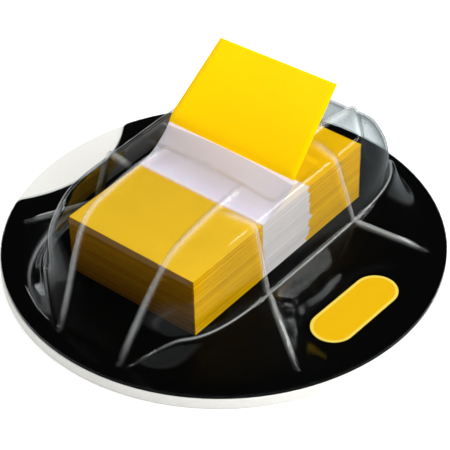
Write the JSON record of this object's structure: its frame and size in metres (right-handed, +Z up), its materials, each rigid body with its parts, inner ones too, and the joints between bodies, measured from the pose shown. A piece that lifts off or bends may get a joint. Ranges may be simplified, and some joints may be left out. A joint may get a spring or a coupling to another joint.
{
  "type": "sticky index tabs",
  "caption": "Stack of sticky film index tabs in a clear ribbed dome on a round non-slip pad, one tab drawn up through the slot.",
  "frame": {"origin": "centre of the pad's underside, on the surface that the dispenser stands on", "axes": "+Z up out of the desk, Y along the flags and the long way of the dome, X across the flags, with the notch on the -X side"},
  "size_m": [0.0732, 0.0732, 0.032],
  "materials": {
    "pad_foam": "matte white non-slip foam",
    "black_card": "glossy black print",
    "flag_film_stack": "yellow printed film, seen on edge",
    "flag_film": "yellow printed film, satin",
    "clear_plastic": "clear thermoformed sheet"
  },
  "bodies": {
    "root": {"grip_pad": "pad_foam", "backing_card": "black_card", "flag_stack": "flag_film_stack", "drawn_flag": "flag_film", "cover": "clear_plastic"}
  },
  "joints": []
}
